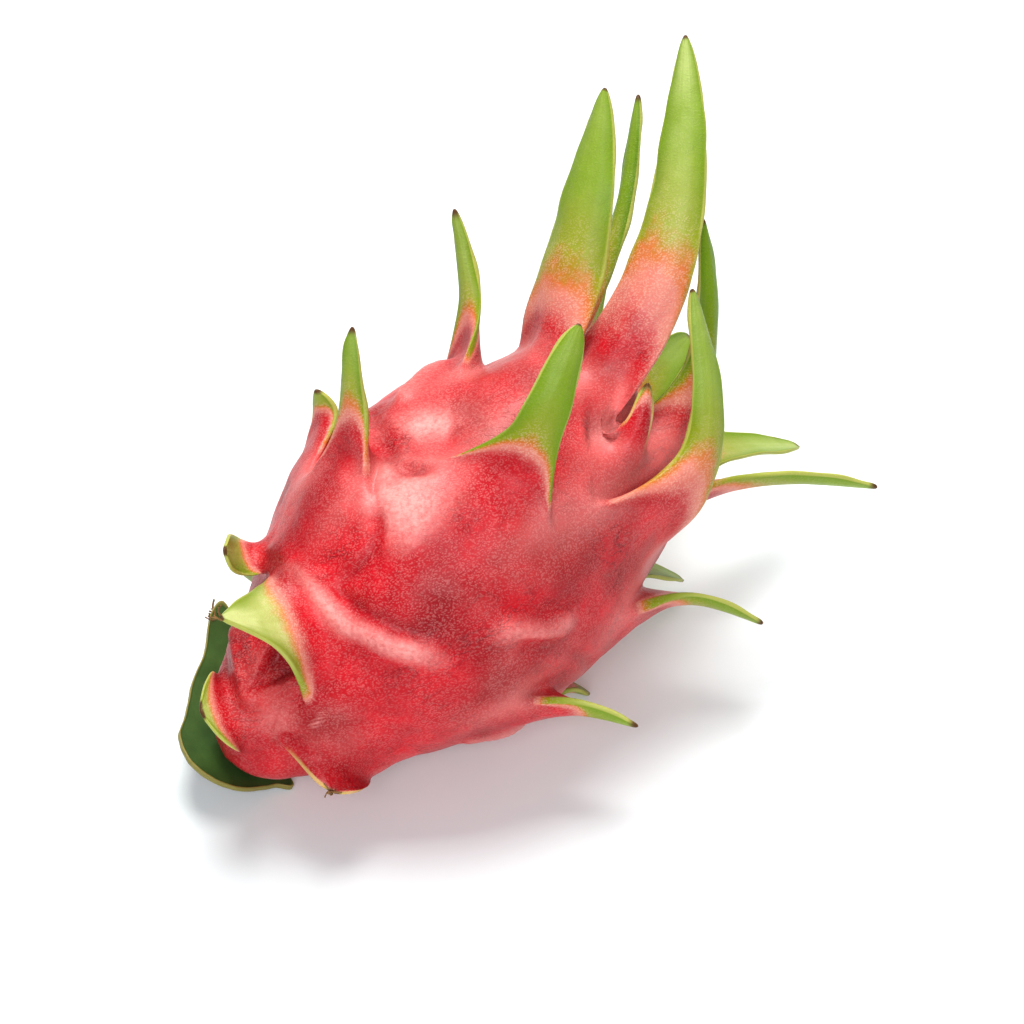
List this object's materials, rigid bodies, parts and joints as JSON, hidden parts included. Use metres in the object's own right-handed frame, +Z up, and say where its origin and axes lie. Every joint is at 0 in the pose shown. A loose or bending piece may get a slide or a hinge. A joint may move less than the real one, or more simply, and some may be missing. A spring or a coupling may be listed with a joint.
{
  "type": "dragon fruit",
  "caption": "Whole dragon fruit lying on its belly: a smooth leathery body with long leaf-like scales and a slab of cactus stem at its base.",
  "frame": {"origin": "middle of the small flat rest spot under the belly, on the surface that the fruit lies on", "axes": "+X runs towards the crown along the floor, +Z is up, and the scales at the stem end point to -X"},
  "size_m": [0.1936, 0.1262, 0.1571],
  "materials": {
    "peel": "waxy crimson peel with fine pale flecks and green scale tips",
    "stem_skin": "dark green cactus skin with a corky yellow-brown margin"
  },
  "bodies": {
    "root": {"fruit": "peel", "cactus_stem_piece": "stem_skin"}
  },
  "joints": []
}
